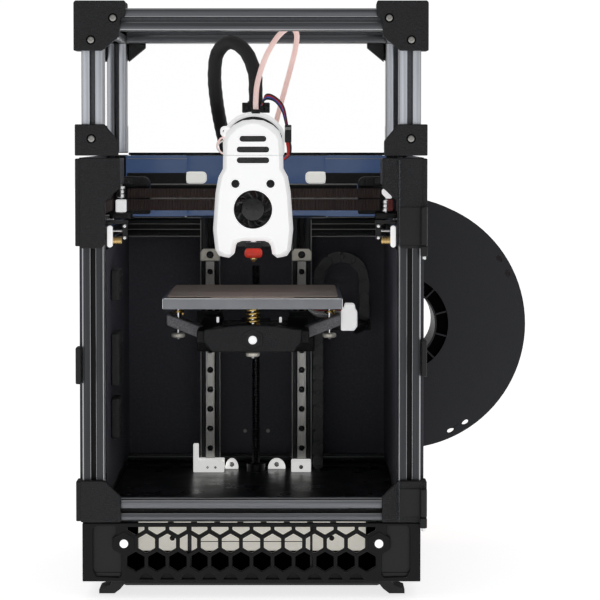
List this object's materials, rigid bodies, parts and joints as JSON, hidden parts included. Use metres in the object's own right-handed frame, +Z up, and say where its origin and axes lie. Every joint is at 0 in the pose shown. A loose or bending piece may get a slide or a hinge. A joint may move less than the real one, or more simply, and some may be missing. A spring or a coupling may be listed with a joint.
{
  "type": "fdm 3d printer",
  "caption": "Enclosed desktop filament printer of slotted bars, with a lift-off clear top cover, hinged clear door, sliding bed, moving toolhead and a side spool.",
  "frame": {"origin": "middle of the bounding box at the floor, under the feet", "axes": "+X to the printer's right (the spool's side) seen from its door, +Y to the back, +Z up"},
  "size_m": [0.3334, 0.3448, 0.4056],
  "materials": {
    "frame_bars": "dark anodised slotted bar with bright worn edges",
    "dark_bars": "black anodised bar",
    "cover_bars": "clear anodised slotted bar, satin",
    "black_print": "finely textured black printed plastic",
    "white_print": "smooth white printed plastic",
    "black_panel": "polished black acrylic",
    "clear_panel": "clear acrylic",
    "rubber": "matt rubber",
    "zinc": "plain zinc-plated sheet metal",
    "motor_metal": "black stepper motor body",
    "steel": "ground steel",
    "bed_metal": "milled aluminium plate",
    "sheet_coating": "textured brown coating on spring steel",
    "fan_plastic": "black moulded plastic",
    "spool_plastic": "black moulded plastic, satin",
    "cable_sleeve": "black braided cable sleeve",
    "feed_tube": "translucent fluoropolymer tube with a pink tint"
  },
  "bodies": {
    "frame": {"base_beam_front": "frame_bars", "base_beam_left": "frame_bars", "base_beam_rear": "frame_bars", "base_beam_right": "frame_bars", "base_corner_left": "black_print", "base_corner_right": "black_print", "cable_bracket": "black_print", "cable_chain": "black_print", "deck_panel": "black_panel", "drive_unit_left": "black_print", "drive_unit_right": "black_print", "foot_front_left": "rubber", "foot_front_right": "rubber", "foot_rear_left": "rubber", "foot_rear_right": "rubber", "idler_housing_left": "black_print", "idler_housing_right": "black_print", "post_front_left": "frame_bars", "post_front_right": "frame_bars", "post_rear_left": "frame_bars", "post_rear_right": "frame_bars", "power_supply": "zinc", "rear_panel": "black_panel", "side_panel_left": "black_panel", "side_panel_right": "black_panel", "skirt_front": "black_print", "skirt_surround": "black_print", "spool_holder": "black_print", "upper_beam_left": "frame_bars", "upper_beam_rear": "frame_bars", "upper_beam_right": "frame_bars", "z_column_left": "dark_bars", "z_column_right": "dark_bars", "z_motor": "motor_metal", "z_rail_left": "steel", "z_rail_right": "steel"},
    "bed": {"bed_carrier": "black_print", "bed_plate": "bed_metal"},
    "sheet": {"build_sheet": "sheet_coating"},
    "knob_left": {"levelling_knob_left": "steel"},
    "knob_right": {"levelling_knob_right": "steel"},
    "knob_front": {"levelling_knob_front": "steel"},
    "lead_screw": {"lead_screw": "steel"},
    "gantry": {"x_beam": "dark_bars", "x_rail": "steel", "xy_joint_left": "black_print", "xy_joint_right": "black_print", "umbilical_cable": "cable_sleeve", "filament_tube": "feed_tube"},
    "toolhead": {"toolhead_cowl": "white_print", "toolhead_carriage": "black_print", "extruder": "white_print", "hotend": "steel"},
    "fan": {"hotend_fan_rotor": "fan_plastic"},
    "door": {"door_panel": "clear_panel", "door_hinge_lower": "black_print", "door_hinge_upper": "black_print"},
    "top_hat": {"top_hat_frame": "cover_bars", "top_hat_glazing": "clear_panel"},
    "spool": {"spool": "spool_plastic"}
  },
  "joints": [
    {"name": "bed_lift", "type": "slide", "parent": "frame", "child": "bed", "axis": [0, 0, 1], "range_m": [-0.082, 0.021], "deforming": ["cable_chain"]},
    {"name": "lead_screw_spin", "type": "hinge", "parent": "frame", "child": "lead_screw", "pos_m": [-0.04685, 0.02755, 0.136], "axis": [0, 0, 1], "range_deg": [-7500, 2000]},
    {"name": "sheet_pull", "type": "slide", "parent": "bed", "child": "sheet", "axis": [0, -1, 0], "range_m": [0, 0.04]},
    {"name": "knob_left_turn", "type": "hinge", "parent": "bed", "child": "knob_left", "pos_m": [-0.10145, -0.06445, 0.1705], "axis": [0, 0, 1], "continuous": true},
    {"name": "knob_right_turn", "type": "hinge", "parent": "bed", "child": "knob_right", "pos_m": [0.00775, -0.06445, 0.1705], "axis": [0, 0, 1], "continuous": true},
    {"name": "knob_front_turn", "type": "hinge", "parent": "bed", "child": "knob_front", "pos_m": [-0.04685, -0.10445, 0.1605], "axis": [0, 0, 1], "continuous": true},
    {"name": "gantry_travel", "type": "slide", "parent": "frame", "child": "gantry", "axis": [0, 1, 0], "range_m": [-0.042, 0.078], "deforming": ["umbilical_cable", "filament_tube"]},
    {"name": "toolhead_travel", "type": "slide", "parent": "gantry", "child": "toolhead", "axis": [1, 0, 0], "range_m": [-0.058, 0.058]},
    {"name": "fan_spin", "type": "hinge", "parent": "toolhead", "child": "fan", "pos_m": [-0.04685, -0.09195, 0.2623], "axis": [0, 1, 0], "continuous": true},
    {"name": "door_swing", "type": "hinge", "parent": "frame", "child": "door", "pos_m": [0.06995, -0.16985, 0.16], "axis": [0, 0, 1], "range_deg": [0, 110]},
    {"name": "top_hat_lift", "type": "slide", "parent": "frame", "child": "top_hat", "axis": [0, 0, 1], "range_m": [0, 0.12]},
    {"name": "spool_turn", "type": "hinge", "parent": "frame", "child": "spool", "pos_m": [0.06675, 0.13655, 0.1645], "axis": [0, 1, 0], "continuous": true}
  ],
  "couplings": [
    {"joint": "lead_screw_spin", "follows": "bed_lift", "rad_per_m": 1570.8}
  ]
}
